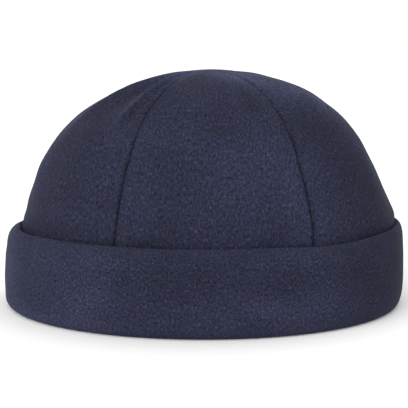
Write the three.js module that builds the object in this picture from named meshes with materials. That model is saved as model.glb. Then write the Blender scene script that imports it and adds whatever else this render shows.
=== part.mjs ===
// Brimless wool cap: six sewn crown panels over a doubled cuff that is turned up all the way round.
// Millimetres, +Z up, head's length along X, origin on the surface that the cap rests on.
import * as THREE from 'three';

// Driving dimensions.
const capLength = 214;          // outside of the cuff, along the head
const capWidth = 178;           // outside of the cuff, across the head
const capHeight = 124;          // resting surface to the top of the crown
const cuffHeight = 43;          // resting surface to the cuff's folded top edge
const cloth = 1.4;              // thickness of the melton
const cuffLoft = 1.5;           // air between the cuff's two layers, where it stands fullest
const cuffEase = 0.4;           // between the crown and the cuff's inner layer, at the bottom
const pieceGap = 0.3;           // between pieces that are sewn together
const cuffRoll = 4;             // outer radius of the cuff's rolled lower edge
const hemOpening = 1;           // from the rolled layer up to the inner layer's raw edge
const seamAllowance = 7;        // cloth pressed back inside, each side of a seam
const allowanceStep = 0.5;      // run of the step at the allowance's raw edge
const grooveDepth = 0.8;        // how far a seam draws the cloth in
const grooveWidth = 1.8;        // from the seam line to where the cloth is full again
const panelPuff = 1;            // how much a panel swells between its seams
const tipRadius = 1.5;          // where the panel tips stop, round the apex

// Angles are turns about +Z in degrees, 0 at the near side (-Y) and 90 at the +X end.
const panelNames = ['left', 'back_left', 'back_right', 'right', 'front_right', 'front_left'];
const firstSeamTurn = -26.5;    // the seam on the front edge of the left panel

// The seam before each panel, in degrees off an even division: below wanderFrom and above
// wanderTo, which are shares of the panel's length above the cuff.
const wanderFrom = 0.3;
const wanderTo = 0.8;
const seamWanders = [
  { foot: -0.8, apex: -5 },
  { foot: 1.5, apex: 2.5 },
  { foot: 0, apex: 2 },
  { foot: -1, apex: 3 },
  { foot: 1, apex: -2 },
  { foot: 0, apex: -3 },
];

// Crown behind the cuff: rise is a share of the way from the crown's foot to the cuff's top,
// reach and lean are shares of the crown's half length.
const wallSections = [
  { rise: 0, reach: 1, lean: 0 },
  { rise: 0.5, reach: 0.99, lean: 0.01 },
  { rise: 1, reach: 0.966, lean: 0.022 },
];

// Crown above the cuff: rise is a share of the way from the cuff's top to the apex.
const domeSections = [
  { rise: 0.09, reach: 0.956, lean: 0.0245 },
  { rise: 0.24, reach: 0.918, lean: 0.018 },
  { rise: 0.42, reach: 0.853, lean: 0.013 },
  { rise: 0.59, reach: 0.769, lean: 0.02 },
  { rise: 0.75, reach: 0.64, lean: 0.029 },
  { rise: 0.88, reach: 0.466, lean: 0.04 },
  { rise: 0.955, reach: 0.28, lean: 0.042 },
  { rise: 0.988, reach: 0.13, lean: 0.041 },
  { rise: 1, reach: 0, lean: 0.041 },
];

// Soft folds and dents of the crown. turn is their middle and halfTurn their half width, in
// degrees; from and to are shares of the way from the cuff's top to the apex; height is a
// share of the crown's half length, outwards where positive.
const crownFolds = [
  { turn: -40, halfTurn: 7, from: 0.48, to: 1, height: 0.014 },
  { turn: -54, halfTurn: 12, from: 0.42, to: 1, height: -0.016 },
  { turn: 16, halfTurn: 6, from: 0.35, to: 0.98, height: -0.008 },
  { turn: 58, halfTurn: 18, from: 0.3, to: 0.95, height: 0.006 },
  { turn: 20, halfTurn: 12, from: 0.02, to: 0.5, height: 0.008 },
  { turn: 128, halfTurn: 12, from: 0.3, to: 0.95, height: -0.01 },
  { turn: 178, halfTurn: 16, from: 0.4, to: 0.95, height: 0.01 },
  { turn: -128, halfTurn: 12, from: 0.3, to: 0.95, height: -0.01 },
];

// Cuff: rise is a share of the way from its rolled edge up to its fold, reach and lean are
// shares as the crown's are, and loft is a share of cuffLoft.
const cuffSections = [
  { rise: 0.04, reach: 1, loft: 0.8, lean: -0.001 },
  { rise: 0.31, reach: 1, loft: 1, lean: 0 },
  { rise: 0.66, reach: 0.997, loft: 0.85, lean: 0.003 },
  { rise: 1, reach: 0.978, loft: 1, lean: 0.012 },
];

// How finely the cloth is divided.
const bodyColumns = 3;          // between a seam's allowance and the middle of its panel
const wallRows = 2;
const domeRows = 11;
const cuffColumns = 72;
const foldArcSteps = 4;
const rollArcSteps = 3;
const seamSteps = 720;

// The most of a narrow panel's width that each line parallel to its seams may stand in from them.
const narrowShares = { shoulder: 0.12, rawEdge: 0.3, single: 0.34 };

const navyCloth = { color: 0x33354a, roughness: 0.95, metalness: 0 };

const cuffStack = cuffEase + 2 * cloth + cuffLoft;
const halfLength = capLength / 2 - cuffStack;
const halfWidth = capWidth / 2 - cuffStack;
const crownFoot = cloth + pieceGap;
const radians = THREE.MathUtils.degToRad;

// A point of the crown's base oval, and the direction outwards from it.
function ovalPoint(turn) {
  const angle = radians(turn);
  return new THREE.Vector3(halfLength * Math.sin(angle), -halfWidth * Math.cos(angle), 0);
}

function ovalNormal(turn) {
  const angle = radians(turn);
  return new THREE.Vector3(halfWidth * Math.sin(angle), -halfLength * Math.cos(angle), 0).normalize();
}

// The seams divide the oval into equal lengths of cloth, counted from the first seam.
function seamTurns(count) {
  const turnAt = (step) => firstSeamTurn + (360 * step) / seamSteps;
  const lengths = [0];
  for (let step = 1; step <= seamSteps; step += 1) {
    const side = ovalPoint(turnAt(step)).distanceTo(ovalPoint(turnAt(step - 1)));
    lengths.push(lengths[step - 1] + side);
  }
  const panelWidth = lengths[seamSteps] / count;
  const seams = [firstSeamTurn];
  for (let seam = 1; seam < count; seam += 1) {
    const wanted = panelWidth * seam;
    const after = lengths.findIndex((length) => length >= wanted);
    const share = (wanted - lengths[after - 1]) / (lengths[after] - lengths[after - 1]);
    seams.push(turnAt(after - 1 + share));
  }
  seams.push(firstSeamTurn + 360);
  return { seams, panelWidth };
}

const { seams, panelWidth } = seamTurns(panelNames.length);

// The crown's side profile as a smooth curve: x is the reach, y the lean, z the height. It runs
// over the apex and down the other side, so that the top is level there.
function crownProfile() {
  const wall = wallSections.map(({ rise, reach, lean }) => new THREE.Vector3(
    halfLength * reach,
    halfLength * lean,
    THREE.MathUtils.lerp(crownFoot, cuffHeight, rise),
  ));
  const dome = domeSections.map(({ rise, reach, lean }) => new THREE.Vector3(
    halfLength * reach,
    halfLength * lean,
    THREE.MathUtils.lerp(cuffHeight, capHeight, rise),
  ));
  const rising = [...wall, ...dome];
  const falling = rising.slice(0, -1).reverse().map(({ x, y, z }) => new THREE.Vector3(-x, y, z));
  return new THREE.CatmullRomCurve3([...rising, ...falling], false, 'catmullrom', 0.5);
}

const profile = crownProfile();
const wallShare = (wallSections.length - 1) / (wallSections.length + domeSections.length - 1);

// along runs from 0 at the crown's foot to 1 at the apex.
const profileAt = (along) => profile.getPoint(along / 2);

// The smooth crown, before seams and folds.
function crownPoint(turn, along) {
  const { x: reach, y: lean, z: height } = profileAt(along);
  const rim = ovalPoint(turn).multiplyScalar(reach / halfLength);
  return new THREE.Vector3(rim.x + lean, rim.y, height);
}

function crownNormal(turn, along) {
  const stepTurn = 0.5;
  const stepAlong = 0.002;
  const across = crownPoint(turn + stepTurn, along).sub(crownPoint(turn - stepTurn, along));
  const below = Math.max(0, along - stepAlong);
  const up = crownPoint(turn, along + stepAlong).sub(crownPoint(turn, below));
  return across.cross(up).normalize();
}

// 0 at both ends of the range, 1 in its middle, with no corner.
function swell(value, from, to) {
  const share = THREE.MathUtils.clamp((value - from) / (to - from), 0, 1);
  return Math.sin(Math.PI * share) ** 2;
}

const wrapTurn = (turn) => THREE.MathUtils.euclideanModulo(turn + 180, 360) - 180;

// How far the cloth stands out of the smooth crown.
function crownRelief(turn, along, acrossPanel) {
  const rise = (along - wallShare) / (1 - wallShare);
  const puff = panelPuff * swell(rise, 0, 1) * (Math.sin(Math.PI * acrossPanel) - 0.5);
  const folds = crownFolds.map((fold) => {
    const offset = wrapTurn(turn - fold.turn);
    return halfLength * fold.height * swell(rise, fold.from, fold.to)
      * swell(offset, -fold.halfTurn, fold.halfTurn);
  });
  return folds.reduce((sum, height) => sum + height, puff);
}

// The rows of a panel, from the foot to the tip.
function panelRows() {
  let tip = 1;
  while (profileAt(tip).x < tipRadius) {
    tip -= 1e-4;
  }
  const rows = [];
  for (let row = 0; row < wallRows; row += 1) {
    rows.push((wallShare * row) / wallRows);
  }
  for (let row = 0; row <= domeRows; row += 1) {
    rows.push(THREE.MathUtils.lerp(wallShare, tip, row / domeRows));
  }
  return rows;
}

// Distances from a panel's edge for its columns: the seam, the groove's shoulder, the two
// sides of the allowance's raw edge, and the body of the panel. Each keeps to a share of the
// width where the panel narrows to its tip. Doubled marks the columns over the allowance.
function panelColumns(width) {
  const shoulder = Math.min(grooveWidth, narrowShares.shoulder * width);
  const rawEdge = Math.min(seamAllowance, narrowShares.rawEdge * width);
  const single = Math.min(seamAllowance + allowanceStep, narrowShares.single * width);
  const half = [
    { distance: 0, groove: 1, doubled: true },
    { distance: shoulder, groove: 0, doubled: true },
    { distance: rawEdge, groove: 0, doubled: true },
    { distance: single, groove: 0, doubled: false },
  ];
  for (let column = 1; column <= bodyColumns; column += 1) {
    const distance = THREE.MathUtils.lerp(single, width / 2, column / bodyColumns);
    half.push({ distance, groove: 0, doubled: false });
  }
  const mirrored = (column) => ({ ...column, distance: width - column.distance });
  return [...half, ...half.slice(0, -1).reverse().map(mirrored)];
}

// A closed surface through a sheet of outer points and the sheet of inner points behind it.
function closedSheet(outer, inner) {
  const rows = outer.length;
  const columns = outer[0].length;
  const points = [...outer.flat(), ...inner.flat()];
  const front = (row, column) => row * columns + column;
  const back = (row, column) => rows * columns + front(row, column);
  const faces = [];
  const quad = (a, b, c, d) => faces.push(a, b, c, a, c, d);
  for (let row = 0; row < rows - 1; row += 1) {
    for (let column = 0; column < columns - 1; column += 1) {
      quad(front(row, column), front(row, column + 1), front(row + 1, column + 1), front(row + 1, column));
      quad(back(row, column), back(row + 1, column), back(row + 1, column + 1), back(row, column + 1));
    }
    const last = columns - 1;
    quad(front(row, 0), front(row + 1, 0), back(row + 1, 0), back(row, 0));
    quad(front(row, last), back(row, last), back(row + 1, last), front(row + 1, last));
  }
  for (let column = 0; column < columns - 1; column += 1) {
    const top = rows - 1;
    quad(front(0, column), back(0, column), back(0, column + 1), front(0, column + 1));
    quad(front(top, column), front(top, column + 1), back(top, column + 1), back(top, column));
  }
  return clothGeometry(points, faces);
}

function clothGeometry(points, faces) {
  const geometry = new THREE.BufferGeometry().setFromPoints(points);
  geometry.setIndex(faces);
  geometry.computeVertexNormals();
  return geometry;
}

// One gore of the crown, from behind the cuff up to its tip, with the cloth turned back along
// both seams.
function crownPanel(index) {
  const wanders = [seamWanders[index], seamWanders[(index + 1) % seamWanders.length]];
  const outer = [];
  const inner = [];
  panelRows().forEach((along) => {
    const rise = THREE.MathUtils.clamp((along - wallShare) / (1 - wallShare), 0, 1);
    const [from, to] = wanders.map(({ foot, apex }, side) => {
      const drift = THREE.MathUtils.smoothstep(rise, wanderFrom, wanderTo);
      return seams[index + side] + THREE.MathUtils.lerp(foot, apex, drift);
    });
    const width = (panelWidth * profileAt(along).x) / halfLength;
    const outerRow = [];
    const innerRow = [];
    panelColumns(width).forEach(({ distance, groove, doubled }) => {
      const inset = pieceGap / 2 + distance * (1 - pieceGap / width);
      const turn = THREE.MathUtils.lerp(from, to, inset / width);
      const base = crownPoint(turn, along);
      const normal = crownNormal(turn, along);
      const relief = crownRelief(turn, along, distance / width);
      const depth = doubled ? 2 * cloth : cloth;
      outerRow.push(base.clone().addScaledVector(normal, relief - groove * grooveDepth));
      innerRow.push(base.clone().addScaledVector(normal, relief - depth));
    });
    outer.push(outerRow);
    inner.push(innerRow);
  });
  return closedSheet(outer, inner);
}

// The cuff's section, anticlockwise. Each point stands out from the crown's base oval, drawn in
// to its reach and moved along by its lean.
function cuffSection() {
  const bottom = cuffSections[0];
  const top = cuffSections[cuffSections.length - 1];
  const stands = ({ loft }) => {
    const innerLayer = cuffEase + cloth;
    const outerLayer = innerLayer + loft * cuffLoft;
    return [cuffEase, innerLayer, outerLayer, outerLayer + cloth];
  };
  const fold = (stands(top)[3] - stands(top)[0]) / 2;
  const foldFlat = cuffHeight - fold;
  const roll = Math.min(cuffRoll, stands(bottom)[3]);
  const onLayer = (section, side) => ({
    stand: stands(section)[side],
    z: THREE.MathUtils.lerp(roll, foldFlat, section.rise),
    reach: section.reach,
    lean: section.lean,
  });
  const face = (side) => cuffSections.map((section) => onLayer(section, side));
  const foldArc = [];
  for (let step = 0; step <= foldArcSteps; step += 1) {
    const angle = (Math.PI * step) / foldArcSteps;
    foldArc.push({
      ...onLayer(top, 0),
      stand: stands(top)[0] + fold + fold * Math.cos(angle),
      z: foldFlat + fold * Math.sin(angle),
    });
  }
  const onBase = (stand, z) => ({ stand, z, reach: 1, lean: 0 });
  const rollArc = (radius) => {
    const arc = [];
    for (let step = 0; step < rollArcSteps; step += 1) {
      const angle = (Math.PI * step) / (2 * rollArcSteps);
      const middle = stands(bottom)[3] - roll;
      arc.push(onBase(middle + radius * Math.sin(angle), roll - radius * Math.cos(angle)));
    }
    return arc;
  };
  const hem = cloth + hemOpening;
  return [
    onBase(-cloth, 0),
    ...rollArc(roll),
    ...face(3).slice(0, -1),
    ...foldArc,
    ...face(0).slice(0, -1).reverse(),
    onBase(stands(bottom)[0], hem),
    onBase(stands(bottom)[1], hem),
    ...face(1),
    ...face(2).reverse(),
    ...rollArc(roll - cloth).reverse(),
    onBase(-cloth, cloth),
  ];
}

// One strip folded lengthwise: its outer layer rolls under the crown's foot, and its inner
// layer lies against the crown. It is one ring, open below the inner layer's raw edge.
function cuff() {
  const section = cuffSection();
  const points = [];
  const faces = [];
  for (let column = 0; column < cuffColumns; column += 1) {
    const turn = (360 * column) / cuffColumns;
    const outwards = ovalNormal(turn);
    const next = (column + 1) % cuffColumns;
    section.forEach(({ stand, z, reach, lean }, index) => {
      const point = ovalPoint(turn).multiplyScalar(reach).addScaledVector(outwards, stand);
      points.push(new THREE.Vector3(point.x + lean * halfLength, point.y, z));
      const after = (index + 1) % section.length;
      const near = column * section.length;
      const far = next * section.length;
      faces.push(near + index, far + index, far + after);
      faces.push(near + index, far + after, near + after);
    });
  }
  return clothGeometry(points, faces);
}

function clothMesh(name, geometry) {
  const mesh = new THREE.Mesh(geometry, new THREE.MeshStandardMaterial(navyCloth));
  mesh.name = name;
  return mesh;
}

const crown = new THREE.Group();
panelNames.forEach((name, index) => {
  crown.add(clothMesh(`crown_panel_${name}`, crownPanel(index)));
});

const cap = new THREE.Group();
cap.add(crown);
cap.add(clothMesh('cuff', cuff()));

export default cap;
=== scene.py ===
import math

import bpy
import numpy as np
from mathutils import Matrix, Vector, noise


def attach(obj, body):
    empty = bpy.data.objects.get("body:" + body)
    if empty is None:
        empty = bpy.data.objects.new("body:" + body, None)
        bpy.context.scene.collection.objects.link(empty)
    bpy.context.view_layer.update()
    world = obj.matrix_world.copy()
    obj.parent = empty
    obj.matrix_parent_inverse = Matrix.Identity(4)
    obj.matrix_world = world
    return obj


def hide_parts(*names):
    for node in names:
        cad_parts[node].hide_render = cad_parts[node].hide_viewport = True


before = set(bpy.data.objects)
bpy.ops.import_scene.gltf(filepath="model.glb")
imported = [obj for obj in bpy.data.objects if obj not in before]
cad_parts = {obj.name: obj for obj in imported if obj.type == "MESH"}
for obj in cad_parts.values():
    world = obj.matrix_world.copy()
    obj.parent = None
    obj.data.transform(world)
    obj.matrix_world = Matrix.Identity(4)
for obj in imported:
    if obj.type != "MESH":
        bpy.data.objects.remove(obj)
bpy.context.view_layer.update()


# The crown: six gores of brushed navy melton, cut to a dome and sewn edge to edge with plain
# seams. At each seam the cloth turns in, and its allowance is pressed back flat inside. The foot
# of the crown stands inside the cuff.
half_length = 0.1023            # of the crown's base oval, along the head
half_width = 0.0843             # of the crown's base oval, across the head
cap_height = 0.124
cuff_height = 0.043
crown_foot = 0.0017             # where the crown ends, inside the cuff's rolled edge
cloth = 0.0014                  # the melton's thickness
layer_gap = 0.0001              # between the cloth and its pressed allowance
seam_gap = -0.0002              # below zero: two panels are pressed into each other at their foot
seam_press = 0.0002             # how much closer they are pressed near the top
seam_allowance = 0.007
panel_puff = 0.001              # how far the middle of a panel stands out of its seams
tip_fit = 1.02                  # a panel narrower than its allowance over this has thinner layers
tip_radius = 0.0002             # from the apex to the ends of the panels, before they overlap
tip_overlap = 2.5               # how far each tip then moves over the apex, in tip radii
allowance_limit = 0.45          # share of a narrow tip's width that one allowance may take
cloth_apart = 0.13              # from panel to panel on the cloth, so that each has its own nap

panel_names = ["left", "back_left", "back_right", "right", "front_right", "front_left"]
first_seam = -26.5              # turns are degrees about +Z, 0 at the near side, 90 at +X

# The seam before each panel, in degrees off an even division: at its foot, further at the middle,
# and at the apex.
seam_wanders = [
    (-0.8, 0.9, -5), (1.5, 0.9, 2.5), (0, 0.4, 2), (-1, -0.5, 3), (1, 0.5, -2), (0, -0.4, -3),
]

# Painted shade beside each of these seams, where shade falls in the seam's groove: how much darker
# the cloth is painted there, from the foot upwards.
seam_painted_shade = [0.4, 0.6, 0.42, 0.42, 0.42, 0.42]
painted_shade_width = 0.0012             # how far from the seam the painted shade reaches
painted_shade_fade = 0.75                # the share of the painted shade that is gone near the top

# Columns of a panel's mesh: distances from the seam, along the allowance and outside, and how
# many more divide the cloth from there to the panel's middle. Then the rows, from foot to apex.
allowance_columns = (seam_allowance, 0.0055, 0.004, 0.0026)
edge_columns = (0.0024, 0.0034, 0.0048, 0.0068)
panel_column_count = 21
wall_row_count = 8
dome_row_count = 52

# Side profile: (share of the rise, reach, lean), reach and lean as shares of the half length.
wall_sections = [(0, 1, 0), (0.5, 0.99, 0.01), (1, 0.966, 0.022)]
dome_sections = [
    (0.09, 0.956, 0.0245), (0.24, 0.918, 0.018), (0.42, 0.853, 0.013),
    (0.59, 0.769, 0.02), (0.75, 0.64, 0.029), (0.88, 0.466, 0.04),
    (0.955, 0.28, 0.042), (0.988, 0.13, 0.041), (1, 0, 0.041),
]

# Soft folds and dents: (middle turn, half width, from, to, height in metres). from and to are
# shares of the way from the cuff's top to the apex.
crown_folds = [
    (-39.5, 4, 0.5, 0.92, 0.0022), (-38, 4, 0.42, 0.66, 0.0012), (-35, 3, 0.44, 0.76, -0.0007),
    (-50, 10, 0.42, 0.95, -0.002), (-66, 8, 0.36, 0.86, 0.0016),
    (16, 6, 0.35, 0.98, -0.0008), (34, 7, 0.6, 0.92, 0.0008), (58, 18, 0.3, 0.95, 0.0006),
    (20, 12, 0.02, 0.5, 0.0008), (128, 12, 0.3, 0.95, -0.001),
    (178, 16, 0.4, 0.95, 0.001), (-128, 12, 0.3, 0.95, -0.001),
]

# Where the wall stands out against the cuff: (middle turn, half width, lowest, highest, height).
wall_flares = [
    (-95, 45, 0.034, 0.052, 0.0007), (-60, 32, 0.036, 0.055, -0.0024),
    (95, 35, 0.034, 0.055, 0.001),
]

# Slight unevenness of the worn cloth: (height, size of a lump, seed).
crown_lumps = [(0.0009, 0.035, 1), (0.0004, 0.012, 2)]

# Patches where the cloth's colour is painted lighter or darker: partly the brushed wool's own
# tone, partly painted light and shade, such as painted highlights on the up-facing top and along
# the crests, painted shade in the valleys beside them and on the side turned from the key light,
# and painted shade just above the cuff's fold. (middle turn, height, half width in degrees, half
# height, amount), with the heights in millimetres.
crown_nap_and_painted_light = [
    (45, 119, 22, 8, 0.8), (66, 107, 9, 9, 0.65), (25, 122, 25, 3, 0.7),
    (28, 120, 6, 1.6, 0.7), (47, 118.5, 7, 1.6, 0.5), (56, 114, 5, 2, 0.4),
    (27, 66, 8, 12, 0.12), (58, 66, 19, 28, -0.16), (45, 94, 9, 8, -0.12),
    (22, 78, 12, 17, 0.42), (70, 58, 10, 22, -0.16), (-47, 90, 13, 22, -0.16),
    (-76, 97, 9, 13, 0.35), (-55, 110, 9, 6, -0.1), (-41.5, 111, 1.7, 8, 0.75),
    (-36, 112, 4, 4, 0.2), (-35.5, 103, 2.5, 4, -0.16), (-32, 52, 10, 14, 0.08),
    (52, 111, 14, 4, 0.2), (-4, 101, 22, 9, -0.09), (-8, 49, 14, 8, -0.11),
    (31, 48, 9, 9, 0.28), (72, 44, 8, 4, 0.15), (-40, 122, 16, 4, 1.3),
    (64, 62, 9, 18, -0.12), (20, 111, 5, 7, -0.3), (0, 79, 26, 9, 0.09),
    (-55, 43.5, 45, 1.2, -0.3), (-17, 44.5, 3.5, 1.8, -0.35), (30, 45, 8, 3, 0.18),
]

# Colours of the fibres, from those that lie deep to those that stand up, and the drift of the
# dye between greyer and bluer, as (place on the ramp, colour).
navy_fibres = [
    (0.3, (0.0032, 0.0036, 0.0112, 1)), (0.44, (0.0128, 0.0138, 0.0302, 1)),
    (0.56, (0.0195, 0.0207, 0.0416, 1)), (0.74, (0.044, 0.046, 0.0862, 1)),
]
dye_drift = [(0.3, (1.03, 1, 0.925, 1)), (0.7, (0.97, 1, 1.075, 1))]
nap_sheen = (0.55, 0.65, 1, 1)


def on_oval(turn):
    angle = np.radians(turn)
    return half_length * np.sin(angle), -half_width * np.cos(angle)


def turn_from(turn, middle):
    """Degrees from a middle turn, -180 to 180."""
    return (turn - middle + 180) % 360 - 180


def smooth_line(points, share):
    """Points along a smooth line through the given ones, share from 0 to 1."""
    points = np.array(points, float)
    padded = np.vstack([2 * points[0] - points[1], points, 2 * points[-1] - points[-2]])
    place = np.clip(np.asarray(share, float), 0, 1) * (len(points) - 1)
    start = np.minimum(place.astype(int), len(points) - 2)
    t = (place - start)[..., None]
    before, here, there, after = (padded[start + step] for step in range(4))
    leave, arrive = (there - before) / 2, (after - here) / 2
    return (
        (2 * t**3 - 3 * t**2 + 1) * here + (t**3 - 2 * t**2 + t) * leave
        + (3 * t**2 - 2 * t**3) * there + (t**3 - t**2) * arrive
    )


# The crown's side line, up one side and down the other, so that it is round at the apex.
rising = [
    (half_length * reach, half_length * lean, crown_foot + rise * (cuff_height - crown_foot))
    for rise, reach, lean in wall_sections
] + [
    (half_length * reach, half_length * lean, cuff_height + rise * (cap_height - cuff_height))
    for rise, reach, lean in dome_sections
]
profile = rising + [(-reach, lean, height) for reach, lean, height in rising[-2::-1]]
wall_share = (len(wall_sections) - 1) / (len(rising) - 1)


def profile_at(along):
    """Reach, lean and height of the crown, along from 0 at its foot to 1 at the apex."""
    line = smooth_line(profile, np.asarray(along) / 2)
    return line[..., 0], line[..., 1], line[..., 2]


def crown_point(turn, along):
    reach, lean, height = profile_at(along)
    x, y = on_oval(turn)
    return np.stack([x * reach / half_length + lean, y * reach / half_length, height], -1)


def crown_normal(turn, along):
    """The way out of the crown, from two short steps over it."""
    across = crown_point(turn + 0.5, along) - crown_point(turn - 0.5, along)
    up = crown_point(turn, along + 0.002) - crown_point(turn, np.maximum(0, along - 0.002))
    normal = np.cross(across, up)
    return normal / np.linalg.norm(normal, axis=-1, keepdims=True)


def swell(value, start, end):
    """0 at both ends of the range and 1 in its middle, with no corner."""
    return np.sin(np.pi * np.clip((value - start) / (end - start), 0, 1)) ** 2


def smooth_step(value, start, end):
    share = np.clip((value - start) / (end - start), 0, 1)
    return share * share * (3 - 2 * share)


def soft_noise(points, size, seed):
    """Smooth noise of about -0.5 to 0.5 at each point, its lumps about size metres across."""
    shift = Vector((seed * 7.3, seed * 3.1, seed * 5.7))
    lumps = [noise.noise(Vector(point) / size + shift) for point in points.reshape(-1, 3)]
    return np.array(lumps).reshape(points.shape[:-1])


def crown_relief(turn, along, across, point):
    """How far the cloth stands out of the smooth crown."""
    rise = (along - wall_share) / (1 - wall_share)
    relief = panel_puff * swell(rise, 0, 1) * (np.sin(np.pi * across) - 0.5)
    for middle, half_turn, start, end, height in crown_folds:
        width = swell(turn_from(turn, middle), -half_turn, half_turn)
        relief += height * swell(rise, start, end) * width
    for middle, half_turn, low, high, height in wall_flares:
        width = swell(turn_from(turn, middle), -half_turn, half_turn)
        relief += height * swell(point[..., 2], low, high) * width
    shown = smooth_step(rise, -0.02, 0.15) * (1 - smooth_step(rise, 0.9, 1))
    for height, size, seed in crown_lumps:
        relief += height * shown * soft_noise(point, size, seed)
    return relief


def seams_round(count):
    """Turns that divide the base oval into equal lengths of cloth, and one such length."""
    turns = np.linspace(first_seam, first_seam + 360, 721)
    x, y = on_oval(turns)
    lengths = np.concatenate([[0], np.cumsum(np.hypot(np.diff(x), np.diff(y)))])
    return np.interp(np.linspace(0, lengths[-1], count + 1), lengths, turns), lengths[-1] / count


seams, panel_width = seams_round(len(panel_names))


def panel_columns():
    """Across half a panel, from the allowance's raw edge round the turned seam to the middle:
    (distance from the seam, depth of the cloth's middle)."""
    turned = (cloth + layer_gap) / 2
    centre = seam_gap / 2 + cloth / 2 + turned
    columns = [(distance, cloth / 2 + 2 * turned) for distance in allowance_columns]
    for angle in np.linspace(math.pi, 0, 7):
        depth = cloth / 2 + turned * (1 - math.cos(angle))
        columns.append((centre - turned * math.sin(angle), depth))
    columns += [(distance, cloth / 2) for distance in edge_columns]
    middle = np.linspace(edge_columns[-1], panel_width / 2, panel_column_count + 1)[1:]
    columns += [(distance, cloth / 2) for distance in middle]
    return np.array(columns)


def nap_and_painted_light_at(turn, height, patches):
    """How light the cloth is painted at each point, for the brushed wool's own tone and for
    painted light and shade: 1, and more or less in each patch.
    """
    nap_and_painted_light = np.ones(np.shape(height))
    for middle, level, half_turn, half_height, amount in patches:
        aside = turn_from(turn, middle) / half_turn
        above = (height * 1000 - level) / half_height
        nap_and_painted_light += amount * np.exp(-aside**2 - above**2)
    return nap_and_painted_light


def sheet_from_grid(name, points, uv, nap_and_painted_light):
    """A grid primitive whose points are set to rows and columns of places on the cloth."""
    rows, columns = points.shape[:2]
    bpy.ops.object.select_all(action="DESELECT")
    bpy.ops.mesh.primitive_grid_add(x_subdivisions=columns - 1, y_subdivisions=rows - 1)
    piece = bpy.context.object
    piece.name = piece.data.name = name
    mesh = piece.data
    mesh.vertices.foreach_set("co", points.reshape(-1))
    layer = mesh.uv_layers.active
    corners = np.empty(len(mesh.loops), int)
    mesh.loops.foreach_get("vertex_index", corners)
    layer.data.foreach_set("uv", uv.reshape(-1, 2)[corners].reshape(-1))
    # lighter and darker patches on the cloth: the brushed wool's own tone with painted light and
    # shade
    mesh.attributes.new("nap_and_painted_light", "FLOAT", "POINT").data.foreach_set("value", nap_and_painted_light.reshape(-1))
    mesh.update()
    return piece


def give_thickness(piece, weights=None):
    """The cloth's thickness and one smoothing, applied. A vertex group thins it where it says."""
    thick = piece.modifiers.new("thickness", "SOLIDIFY")
    thick.thickness = cloth
    thick.offset = 0
    if weights:
        thick.vertex_group = weights
    smooth = piece.modifiers.new("smooth", "SUBSURF")
    smooth.levels = smooth.render_levels = 1
    bpy.context.view_layer.objects.active = piece
    for modifier in list(piece.modifiers):
        bpy.ops.object.modifier_apply(modifier=modifier.name)
    for face in piece.data.polygons:
        face.use_smooth = True


def panel_ends(index, rise):
    """The turns of a panel's two seams, at a share of the way from the cuff's top to the apex."""
    ends = []
    for side in (0, 1):
        foot, middle, apex = seam_wanders[(index + side) % len(seam_wanders)]
        wander = foot + (apex - foot) * smooth_step(rise, 0.3, 0.8) + middle * swell(rise, 0, 0.8)
        ends.append(seams[index + side] + wander)
    return ends


def painted_shade_beside_seams(index, across, width, rise):
    """What is left of the cloth's lightness beside a panel's two seams, where painted shade
    darkens it as shade falls in the seams' grooves.
    """
    painted_shade_here = np.where(
        across < width / 2, seam_painted_shade[index], seam_painted_shade[(index + 1) % len(seam_painted_shade)]
    ) * (1 - painted_shade_fade * smooth_step(rise, 0.3, 0.65))
    from_seam = np.minimum(across, width - across) / painted_shade_width
    return 1 - painted_shade_here * np.exp(-from_seam**2)


def crown_panel(index, name):
    tip = 1.0
    while profile_at(tip)[0] < tip_radius:
        tip -= 1e-5
    rows = np.concatenate([
        np.linspace(0, wall_share, wall_row_count + 1)[:-1],
        np.linspace(wall_share, tip, dome_row_count),
    ])
    reaches, _, heights = profile_at(rows)
    run = np.concatenate([[0], np.cumsum(np.hypot(np.diff(reaches), np.diff(heights)))])
    places, depths = panel_columns().T
    allowance = depths > cloth / 2 + 1e-6
    points = np.zeros((len(rows), 2 * len(places) - 1, 3))
    uv = np.zeros(points.shape[:2] + (2,))
    weights = np.zeros(points.shape[:2])
    nap_and_painted_light = np.ones(points.shape[:2])
    for row, along in enumerate(rows):
        rise = max(0.0, (along - wall_share) / (1 - wall_share))
        start, end = panel_ends(index, rise)
        width = panel_width * reaches[row] / half_length
        fit = min(1.0, tip_fit * width / seam_allowance)
        distance = np.minimum(places * fit, places / places[-1] * width / 2)
        tucked = np.minimum(places * fit, allowance_limit * width)
        distance = np.where(allowance, tucked, distance)
        distance = distance - seam_press / 2 * smooth_step(rise, 0.25, 0.6) * fit
        distance[-1] = width / 2
        across = np.concatenate([distance, width - distance[-2::-1]])
        depth = np.concatenate([depths, depths[-2::-1]]) * fit
        turn = start + (end - start) * across / width
        alongs = np.full_like(turn, along)
        base = crown_point(turn, alongs)
        relief = crown_relief(turn, alongs, across / width, base)
        points[row] = base + crown_normal(turn, alongs) * (relief - depth)[:, None]
        uv[row, :, 0] = across - width / 2 + index * cloth_apart
        uv[row, :, 1] = run[row]
        weights[row] = fit
        # painted highlights and painted shade from the crown's patches, with painted shade beside
        # the seams
        nap_and_painted_light[row] = nap_and_painted_light_at(turn, base[:, 2], crown_nap_and_painted_light)
        nap_and_painted_light[row] *= painted_shade_beside_seams(index, across, width, rise)
    to_apex = crown_point(turn[0], 1.0) - points[-1].mean(0)
    points[-1] += to_apex * [tip_overlap, tip_overlap, 0]
    panel = sheet_from_grid(f"panel_{name}", points, uv, nap_and_painted_light)
    group = panel.vertex_groups.new(name="thickness")
    for vertex, weight in enumerate(weights.reshape(-1)):
        group.add([vertex], float(weight), "REPLACE")
    give_thickness(panel, group.name)
    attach(panel, "root")
    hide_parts(f"crown_panel_{name}")
    return panel


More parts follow.
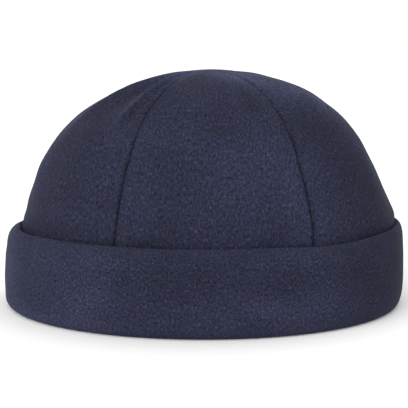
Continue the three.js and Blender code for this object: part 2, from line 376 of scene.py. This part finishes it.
def melton(name, streak_length):
    """Brushed wool: dark and light navy fibres in fine flecks, with a soft sheen of raised fibres,
    and patches of painted light and shade from the mesh. streak_length is how long a fleck of the
    lying fibres is, in its own widths."""
    material = bpy.data.materials.new(name)
    material.use_nodes = True
    nodes, links = material.node_tree.nodes, material.node_tree.links
    shader = nodes["Principled BSDF"]
    shader.inputs["Roughness"].default_value = 0.95
    shader.inputs["Specular IOR Level"].default_value = 0.15
    shader.inputs["Sheen Weight"].default_value = 0.05
    shader.inputs["Sheen Roughness"].default_value = 0.3
    shader.inputs["Sheen Tint"].default_value = nap_sheen
    place = nodes.new("ShaderNodeTexCoord")

    def flecks(source, scale, detail, stretch=(1, 1, 1)):
        mapping = nodes.new("ShaderNodeMapping")
        mapping.vector_type = "TEXTURE"
        mapping.inputs["Scale"].default_value = stretch
        grain = nodes.new("ShaderNodeTexNoise")
        grain.inputs["Scale"].default_value = scale
        grain.inputs["Detail"].default_value = detail
        links.new(place.outputs[source], mapping.inputs["Vector"])
        links.new(mapping.outputs["Vector"], grain.inputs["Vector"])
        return grain.outputs["Fac"]

    def combine(operation, a, b):
        node = nodes.new("ShaderNodeMath")
        node.operation = operation
        for socket, value in zip(node.inputs, (a, b)):
            if isinstance(value, (int, float)):
                socket.default_value = value
            else:
                links.new(value, socket)
        return node.outputs["Value"]

    def coloured(value, stops):
        node = nodes.new("ShaderNodeValToRGB")
        ramp = node.color_ramp.elements
        ramp[0].position, ramp[0].color = stops[0]
        ramp[1].position, ramp[1].color = stops[-1]
        for position, colour in stops[1:-1]:
            ramp.new(position).color = colour
        links.new(value, node.inputs["Fac"])
        return node.outputs["Color"]

    def multiplied(a, b):
        mix = nodes.new("ShaderNodeMix")
        mix.data_type = "RGBA"
        mix.blend_type = "MULTIPLY"
        mix.inputs["Factor"].default_value = 1
        links.new(a, mix.inputs["A"])
        links.new(b, mix.inputs["B"])
        return mix.outputs["Result"]

    fibres = flecks("Object", 1100, 2)
    streaks = flecks("UV", 1000, 1, (1, streak_length, 1))
    tone = combine("ADD", combine("MULTIPLY", fibres, 0.5), combine("MULTIPLY", streaks, 0.5))
    clouds = nodes.new("ShaderNodeMapRange")
    clouds.inputs["From Min"].default_value = 0.3
    clouds.inputs["From Max"].default_value = 0.7
    clouds.inputs["To Min"].default_value = 0.84
    clouds.inputs["To Max"].default_value = 1.16
    links.new(flecks("Object", 40, 3), clouds.inputs["Value"])
    # lighter and darker patches from the mesh: the brushed wool's own tone with painted light and
    # shade
    nap_and_painted_light = nodes.new("ShaderNodeAttribute")
    nap_and_painted_light.attribute_name = "nap_and_painted_light"
    lightness = combine("MULTIPLY", clouds.outputs["Result"], nap_and_painted_light.outputs["Fac"])
    colour = multiplied(coloured(tone, navy_fibres), lightness)
    colour = multiplied(colour, coloured(flecks("Object", 190, 2), dye_drift))
    links.new(colour, shader.inputs["Base Color"])
    bump = nodes.new("ShaderNodeBump")
    bump.inputs["Strength"].default_value = 0.4
    bump.inputs["Distance"].default_value = 0.0004
    links.new(tone, bump.inputs["Height"])
    links.new(bump.outputs["Normal"], shader.inputs["Normal"])
    return material


crown_melton = melton("crown_melton", 2)
for number, panel_name in enumerate(panel_names):
    panel = crown_panel(number, panel_name)
    panel.data.materials.clear()
    panel.data.materials.append(crown_melton)


# The cuff: one strip of the same melton, folded lengthwise and turned up all the way round. Its
# outer layer rolls in under the crown's foot, and its inner layer lies against the crown, with a
# raw edge inside the roll.
cuff_ease = 0.0004              # between the crown and the cuff's inner layer, at the bottom
cuff_loft = 0.0015              # air between the two layers, where the cuff stands fullest
hem_opening = 0.001             # from the rolled layer up to the inner layer's raw edge
inner_bend = 0.003              # from the fold's crest down to where the inner layer is straight
outer_foot = 0.004              # the heights that cuff_sections is spread between
outer_top = cuff_height - 0.0025
crest_share = 0.65              # how far across the fold its crest lies, from inside to outside
shoulder_pull = 50              # and how much less for each metre of round shoulder
roll_tuck = 0.3                 # how far the roll reaches past the crown's wall, in cloths
roll_share = 0.8                # the roll's round part takes at most this share of its way in
strip_join = 96                 # turn of the seam that joins the strip's ends, at the back
cuff_turn_count = 264

# The outer layer: (share of the rise, reach, loft, lean), from the rolled edge up to the fold.
cuff_sections = [
    (0.04, 1, 0.8, -0.001), (0.31, 1, 1, 0), (0.66, 0.997, 0.85, 0.003), (1, 0.978, 1, 0.012),
]

# Patches where the cuff's colour is painted lighter or darker, given as for the crown's patches:
# partly the brushed wool's own tone, partly painted light and shade, such as painted light on the
# left end and along the rolled bottom edge, and painted shade on the right end.
cuff_nap_and_painted_light = [
    (-72, 30, 12, 16, 0.42), (-60, 1, 22, 6, 0.55), (-35, 15, 18, 16, 0.25),
    (-2, 30, 16, 11, -0.2), (25, 13, 14, 7, 0.5), (77, 25, 18, 32, -0.34),
    (67, 25, 8, 26, -0.16), (24, 38, 14, 7, 0.3), (-25, 36, 15, 8, 0.15),
    (0, 0, 400, 5, 0.14), (-6, 2, 28, 4, -0.12), (25, 2, 12, 5, 0.16),
]

# Round the cuff, in millimetres: (turn, fold above its usual height, gap from the crown to the
# fold, height of the fold's round shoulder, radius of the rolled edge).
cuff_hang = [
    (-180, 0.2, 0.6, 4, 4), (-130, -1, 0.4, 6, 4), (-100, -1.8, 0.1, 9, 4.5),
    (-88, -1.3, 0.1, 10, 4.5), (-79, -0.2, 0.1, 10, 4.5), (-71, -0.3, 2, 7, 4.5),
    (-60, -0.2, 3.4, 6, 4), (-48, 0, 2.8, 5, 4), (-38, 0, 1.9, 4, 4),
    (-27, 0, 1.1, 4, 4), (-15, 0, 1.8, 4, 4), (0, 0, 0.4, 4, 4),
    (16, 0, 0.2, 4, 4), (32, -0.9, 0.4, 4, 4.5), (42, -0.8, 0.9, 4, 5.5),
    (53, 0.1, 0.4, 4.5, 8.5), (66, 0.9, 1.3, 5, 12), (77, 1.1, 0.1, 8, 13),
    (92, 1.1, 0.1, 9.5, 13), (110, 0.4, 0.3, 6, 8), (130, -0.3, 0.5, 5, 5),
]


def round_cuff(turn, column):
    """A column of cuff_hang at a turn, in metres, blended smoothly between its rows."""
    turns = np.array([row[0] for row in cuff_hang] + [cuff_hang[0][0] + 360.0])
    values = np.array([row[column] for row in cuff_hang] + [cuff_hang[0][column]], float)
    turn = turn_from(turn, 0)
    after = np.clip(np.searchsorted(turns, turn, side="right"), 1, len(turns) - 1)
    share = smooth_step(turn, turns[after - 1], turns[after])
    return (values[after - 1] + (values[after] - values[after - 1]) * share) / 1000


# Where each height of the crown's wall lies along its side line.
wall_alongs = np.linspace(0, wall_share * 1.2, 200)
wall_heights = profile_at(wall_alongs)[2]


def beside_crown(turn, height, stand):
    """A point that stands out from the crown's wall at a height."""
    along = np.interp(height, wall_heights, wall_alongs)
    wall = crown_point(turn, along)
    out = stand + crown_relief(turn, along, 0.5, wall)
    return wall + crown_normal(turn, along) * out * [1, 1, 0]


def outside_cuff(turn, height):
    """A point of the outer layer's middle at a height."""
    rise = (height - outer_foot) / (outer_top - outer_foot)
    sections = np.array(cuff_sections)
    reach, loft, lean = (np.interp(rise, sections[:, 0], sections[:, c]) for c in (1, 2, 3))
    x, y = on_oval(turn)
    angle = math.radians(turn)
    outwards = np.array([half_width * math.sin(angle), -half_length * math.cos(angle)])
    outwards /= np.linalg.norm(outwards)
    out = cuff_ease + 2 * cloth + loft * cuff_loft - cloth / 2
    return np.array([
        x * reach + outwards[0] * out + lean * half_length, y * reach + outwards[1] * out, height,
    ])


def quarter_bend(start, end, count):
    """Points of a quarter round after its start, where it is level, to its end, where it is
    upright."""
    bend = []
    for angle in np.linspace(0, math.pi / 2, count + 1)[1:]:
        place = start + (end - start) * math.sin(angle)
        place[2] = start[2] + (end[2] - start[2]) * (1 - math.cos(angle))
        bend.append(place)
    return bend


def cuff_line(turn):
    """The strip's middle at one turn, from the inner layer's raw edge over the fold and down
    to the end of the rolled edge."""
    raised, gap, shoulder, roll = (float(round_cuff(turn, column)) for column in (1, 2, 3, 4))
    top = cuff_height + raised - cloth / 2
    line = []
    for share in np.linspace(0, 1, 12):
        height = cloth + hem_opening + share * (top - inner_bend - cloth - hem_opening)
        ease = cuff_ease + (gap - cuff_ease) * smooth_step(share, 0.3, 1)
        line.append(beside_crown(turn, height, ease + cloth / 2))
    inside = line[-1]
    outside = outside_cuff(turn, top - shoulder)
    crest = inside + (outside - inside) * (crest_share - shoulder_pull * shoulder)
    crest[2] = top
    line += quarter_bend(crest, inside, 5)[-2::-1] + [crest]
    line += quarter_bend(crest, outside, 7)
    for height in np.linspace(top - shoulder, roll, 13)[1:]:
        line.append(outside_cuff(turn, height))
    edge = line[-1]
    under = beside_crown(turn, crown_foot, -cloth * roll_tuck)
    reach_in = (under - edge) * [1, 1, 0]
    length = np.linalg.norm(reach_in)
    round_in = min((roll - cloth / 2) / length, roll_share)
    lowest = edge + reach_in * round_in
    lowest[2] = cloth / 2
    line += quarter_bend(lowest, edge, 7)[-2::-1] + [lowest]
    line += [lowest + reach_in * (1 - round_in) * share for share in (0.5, 1)]
    return np.array(line)


def cuff():
    turns = strip_join + np.linspace(0, 360, cuff_turn_count + 1)
    points = np.stack([cuff_line(turn) for turn in turns], 1)
    x, y = on_oval(turns)
    girth = np.concatenate([[0], np.cumsum(np.hypot(np.diff(x), np.diff(y)))])
    run = np.concatenate([[0], np.cumsum(np.linalg.norm(np.diff(points[:, 0], axis=0), axis=1))])
    uv = np.stack(np.meshgrid(girth, run), -1)
    # painted light and shade from the cuff's patches, with the brushed wool's own tone
    nap_and_painted_light = nap_and_painted_light_at(turns, points[..., 2], cuff_nap_and_painted_light)
    ring = sheet_from_grid("cuff_strip", points, uv, nap_and_painted_light)
    bpy.ops.object.mode_set(mode="EDIT")
    bpy.ops.mesh.select_all(action="SELECT")
    bpy.ops.mesh.remove_doubles(threshold=0.00001)
    bpy.ops.object.mode_set(mode="OBJECT")
    give_thickness(ring)
    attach(ring, "root")
    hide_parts("cuff")
    return ring


cuff_strip = cuff()
cuff_strip.data.materials.clear()
cuff_strip.data.materials.append(melton("cuff_melton", 0.85))


# The floor, light and camera: a white studio floor under soft light from all round, with a large
# lamp low on the left, a weak one behind, and a long lens a little above the cap's middle.
floor_white = (0.93, 0.93, 0.93, 1)
lamp_spread = 60                # how wide each lamp looks, in degrees
camera_place = (0, -0.6, 0.1393)
camera_pitch = 8.283            # degrees below the level
camera_lens = 99.45             # millimetres, on a sensor 36 wide

bpy.ops.object.select_all(action="DESELECT")
bpy.ops.mesh.primitive_plane_add(size=30)
floor = bpy.context.object
floor.name = "floor"
white = bpy.data.materials.new("white_floor")
white.use_nodes = True
white.node_tree.nodes["Principled BSDF"].inputs["Base Color"].default_value = floor_white
white.node_tree.nodes["Principled BSDF"].inputs["Roughness"].default_value = 1
floor.data.materials.append(white)

world = bpy.data.worlds.new("studio")
world.use_nodes = True
world.node_tree.nodes["Background"].inputs["Color"].default_value = (1, 1, 1, 1)
world.node_tree.nodes["Background"].inputs["Strength"].default_value = 1
bpy.context.scene.world = world


def studio_sun(name, turn, height, strength):
    """A wide soft light. turn is its bearing, as the cap's turns are, and height its elevation."""
    bpy.ops.object.light_add(type="SUN")
    lamp = bpy.context.object
    lamp.name = name
    lamp.data.energy = strength
    lamp.data.angle = math.radians(lamp_spread)
    lamp.rotation_euler = (math.radians(90 - height), 0, math.radians(turn))


studio_sun("key_light", -35, 18, 2.1)
studio_sun("rim_light", 150, 50, 0.4)

bpy.context.scene.view_settings.view_transform = "Standard"

bpy.ops.object.camera_add(location=camera_place)
camera = bpy.context.object
camera.rotation_euler = (math.radians(90 - camera_pitch), 0, 0)
camera.data.lens = camera_lens
camera.data.sensor_width = 36
bpy.context.scene.camera = camera
